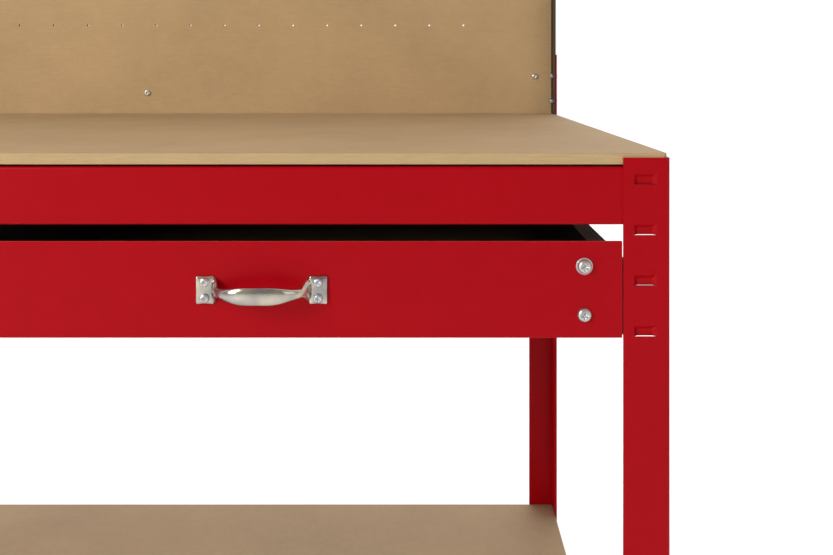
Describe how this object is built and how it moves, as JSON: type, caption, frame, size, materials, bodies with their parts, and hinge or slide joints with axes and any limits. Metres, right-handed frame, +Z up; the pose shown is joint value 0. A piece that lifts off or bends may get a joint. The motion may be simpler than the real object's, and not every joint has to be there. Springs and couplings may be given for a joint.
{
  "type": "workbench with drawers",
  "caption": "Slotted-angle steel workbench with a fibreboard worktop and lower shelf, sliding drawers under the top and an upright peg panel behind it.",
  "frame": {"origin": "middle of the overall box, on the floor", "axes": "+X to the right seen from the front, +Y from the drawer fronts to the back panel, +Z up"},
  "size_m": [1.206, 0.628, 1.46],
  "materials": {
    "red_steel": "powder coat, semi-gloss signal red",
    "black_steel": "powder coat, satin black",
    "fibreboard": "raw medium-density fibreboard, matt",
    "handle_metal": "nickel-plated, softly polished",
    "zinc_fasteners": "bright zinc plate",
    "slide_steel": "zinc-plated rolled steel, lightly greased",
    "foot_plastic": "moulded black plastic"
  },
  "bodies": {
    "frame": {"leg_front_left": "red_steel", "leg_front_right": "red_steel", "leg_rear_left": "red_steel", "leg_rear_right": "red_steel", "foot_front_left": "foot_plastic", "foot_front_right": "foot_plastic", "foot_rear_left": "foot_plastic", "foot_rear_right": "foot_plastic", "top_beam_front": "red_steel", "top_beam_right": "red_steel", "top_beam_rear": "red_steel", "top_beam_left": "red_steel", "shelf_beam_front": "red_steel", "shelf_beam_right": "red_steel", "shelf_beam_rear": "red_steel", "shelf_beam_left": "red_steel", "worktop": "fibreboard", "lower_shelf": "fibreboard", "shelf_brace": "red_steel", "upright_left": "black_steel", "upright_right": "black_steel", "top_rail": "black_steel", "back_panel": "fibreboard", "panel_strap": "black_steel", "upright_bolts": "zinc_fasteners", "panel_screws": "zinc_fasteners", "carrier_bolts": "zinc_fasteners", "outer_carrier_left": "black_steel", "outer_carrier_right": "black_steel", "centre_carrier_left": "black_steel", "centre_carrier_right": "black_steel", "left_outer_slide_fixed": "slide_steel", "left_centre_slide_fixed": "slide_steel", "right_outer_slide_fixed": "slide_steel", "right_centre_slide_fixed": "slide_steel"},
    "left_drawer": {"left_drawer_front": "red_steel", "left_drawer_box": "black_steel", "left_handle": "handle_metal", "left_handle_screws": "zinc_fasteners", "left_front_bolts": "zinc_fasteners", "left_outer_slide_inner": "slide_steel", "left_centre_slide_inner": "slide_steel"},
    "left_middle_members": {"left_outer_slide_middle": "slide_steel", "left_centre_slide_middle": "slide_steel"},
    "left_fixed_cages": {"left_fixed_cages": "slide_steel"},
    "left_inner_cages": {"left_inner_cages": "slide_steel"},
    "right_drawer": {"right_drawer_front": "red_steel", "right_drawer_box": "black_steel", "right_handle": "handle_metal", "right_handle_screws": "zinc_fasteners", "right_front_bolts": "zinc_fasteners", "right_outer_slide_inner": "slide_steel", "right_centre_slide_inner": "slide_steel"},
    "right_middle_members": {"right_outer_slide_middle": "slide_steel", "right_centre_slide_middle": "slide_steel"},
    "right_fixed_cages": {"right_fixed_cages": "slide_steel"},
    "right_inner_cages": {"right_inner_cages": "slide_steel"}
  },
  "joints": [
    {"name": "left_drawer_slide", "type": "slide", "parent": "frame", "child": "left_drawer", "axis": [0, -1, 0], "range_m": [0, 0.45]},
    {"name": "left_middle_members_slide", "type": "slide", "parent": "frame", "child": "left_middle_members", "axis": [0, -1, 0], "range_m": [0, 0.2255]},
    {"name": "left_fixed_cages_slide", "type": "slide", "parent": "frame", "child": "left_fixed_cages", "axis": [0, -1, 0], "range_m": [0, 0.113]},
    {"name": "left_inner_cages_slide", "type": "slide", "parent": "frame", "child": "left_inner_cages", "axis": [0, -1, 0], "range_m": [0, 0.338]},
    {"name": "right_drawer_slide", "type": "slide", "parent": "frame", "child": "right_drawer", "axis": [0, -1, 0], "range_m": [0, 0.45]},
    {"name": "right_middle_members_slide", "type": "slide", "parent": "frame", "child": "right_middle_members", "axis": [0, -1, 0], "range_m": [0, 0.2255]},
    {"name": "right_fixed_cages_slide", "type": "slide", "parent": "frame", "child": "right_fixed_cages", "axis": [0, -1, 0], "range_m": [0, 0.113]},
    {"name": "right_inner_cages_slide", "type": "slide", "parent": "frame", "child": "right_inner_cages", "axis": [0, -1, 0], "range_m": [0, 0.338]}
  ],
  "couplings": [
    {"joint": "left_middle_members_slide", "follows": "left_drawer_slide", "ratio": 0.5},
    {"joint": "left_fixed_cages_slide", "follows": "left_drawer_slide", "ratio": 0.25},
    {"joint": "left_inner_cages_slide", "follows": "left_drawer_slide", "ratio": 0.75},
    {"joint": "right_middle_members_slide", "follows": "right_drawer_slide", "ratio": 0.5},
    {"joint": "right_fixed_cages_slide", "follows": "right_drawer_slide", "ratio": 0.25},
    {"joint": "right_inner_cages_slide", "follows": "right_drawer_slide", "ratio": 0.75}
  ]
}
